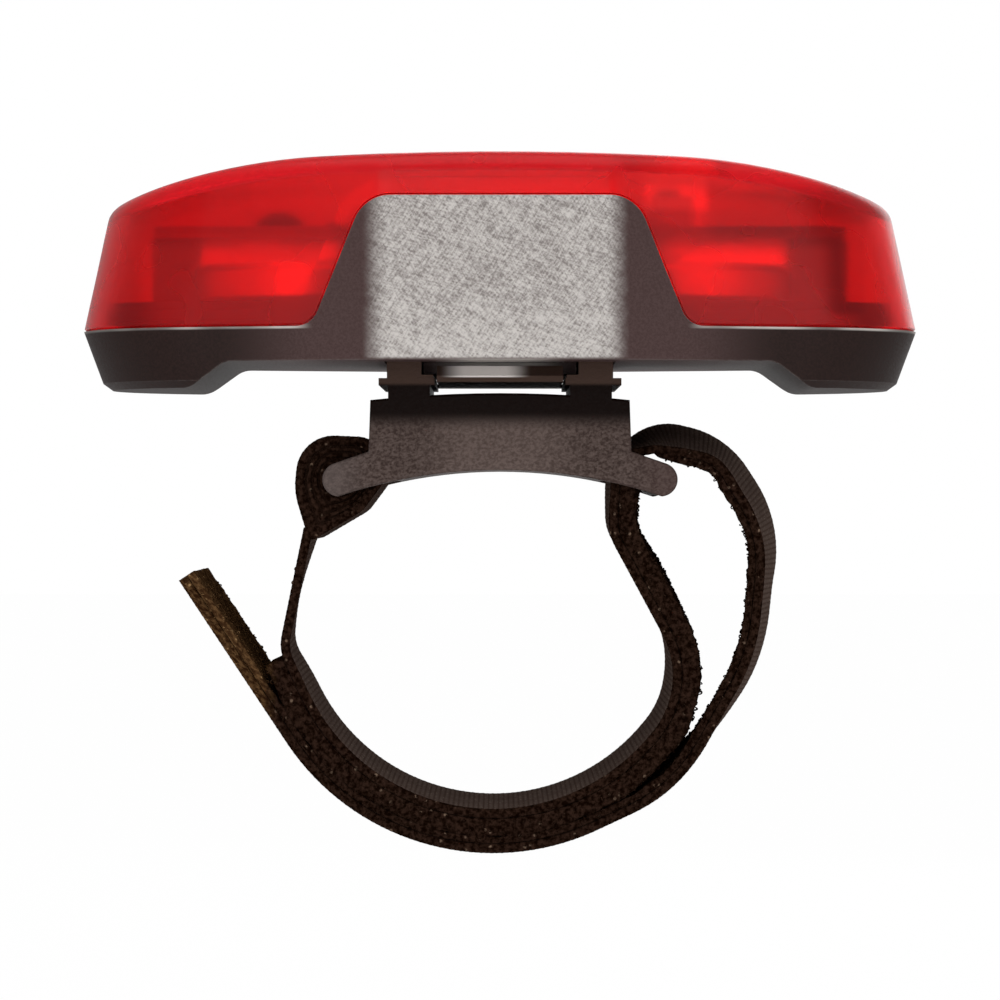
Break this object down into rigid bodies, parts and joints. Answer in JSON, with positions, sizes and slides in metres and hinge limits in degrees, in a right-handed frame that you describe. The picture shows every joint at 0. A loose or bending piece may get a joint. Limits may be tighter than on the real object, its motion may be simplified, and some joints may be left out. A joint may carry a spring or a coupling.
{
  "type": "helmet rear light",
  "caption": "Slim red rear light with a domed lens and raised grey cheeks, on a concave saddle with a hook-and-loop strap for a helmet, bag or seat post.",
  "frame": {"origin": "crown of the saddle's concave seat, midway across the strap", "axes": "+X along the light to the strap's folded side, +Y away from the latch side, +Z the way the light shines"},
  "size_m": [0.072, 0.0356, 0.0596],
  "materials": {
    "housing_plastic": "fine spark texture, paler on the cheeks",
    "saddle_plastic": "fine moulded grain",
    "lens_red": "clear red, polished outside",
    "button_rubber": "soft matt red",
    "seal_rubber": "smooth",
    "strap_weave": "plain woven tape",
    "strap_pile": "fuzzy loop pile",
    "strap_hooks": "rows of small stiff hooks",
    "tray_plastic": "moulded",
    "cell_steel": "bright nickel plate",
    "contact_metal": "sprung strip",
    "screw_steel": "zinc plate",
    "board_laminate": "white solder mask over copper tracks",
    "lamp_resin": "clear dome on a white body",
    "reflector_chrome": "vacuum plated",
    "switch_white": "moulded white",
    "plunger_plastic": "moulded",
    "chip_resin": "black resin"
  },
  "bodies": {
    "bracket": {"bracket_saddle": "saddle_plastic", "strap_webbing": "strap_weave", "strap_loop_tape": "strap_pile", "strap_hook_tape": "strap_hooks", "strap_stitching": "strap_weave"},
    "latch": {"latch_tongue": "saddle_plastic"},
    "light": {"rear_housing": "housing_plastic", "lens_seal": "seal_rubber", "battery_tray": "tray_plastic", "battery_left": "cell_steel", "battery_right": "cell_steel", "battery_bridge_plate": "contact_metal", "battery_clip_left": "contact_metal", "battery_clip_right": "contact_metal", "circuit_board": "board_laminate", "tray_screws": "screw_steel", "led_left": "lamp_resin", "led_centre": "lamp_resin", "led_right": "lamp_resin", "led_reflector": "reflector_chrome", "tactile_switch": "switch_white", "controller_dome": "chip_resin", "chip_resistors": "chip_resin"},
    "plunger": {"switch_plunger": "plunger_plastic"},
    "lens_cap": {"lens": "lens_red"},
    "button": {"power_button": "button_rubber"}
  },
  "joints": [
    {"name": "light_slide", "type": "slide", "parent": "bracket", "child": "light", "axis": [0, -1, 0], "range_m": [0, 0.026], "deforming": ["latch_tongue"]},
    {"name": "latch_press", "type": "hinge", "parent": "bracket", "child": "latch", "pos_m": [0, 0.00775, 0.00765], "axis": [1, 0, 0], "range_deg": [0, 2.1], "stiffness_Nm_per_rad": 0.8},
    {"name": "lens_lift", "type": "slide", "parent": "light", "child": "lens_cap", "axis": [0, 0, 1], "range_m": [0, 0.025]},
    {"name": "button_press", "type": "slide", "parent": "lens_cap", "child": "button", "axis": [0, 0, -1], "range_m": [0, 0.0005], "stiffness_N_per_m": 500},
    {"name": "switch_press", "type": "slide", "parent": "light", "child": "plunger", "axis": [0, 0, -1], "range_m": [0, 0.0005]}
  ],
  "couplings": [
    {"joint": "switch_press", "follows": "button_press", "ratio": 1}
  ]
}
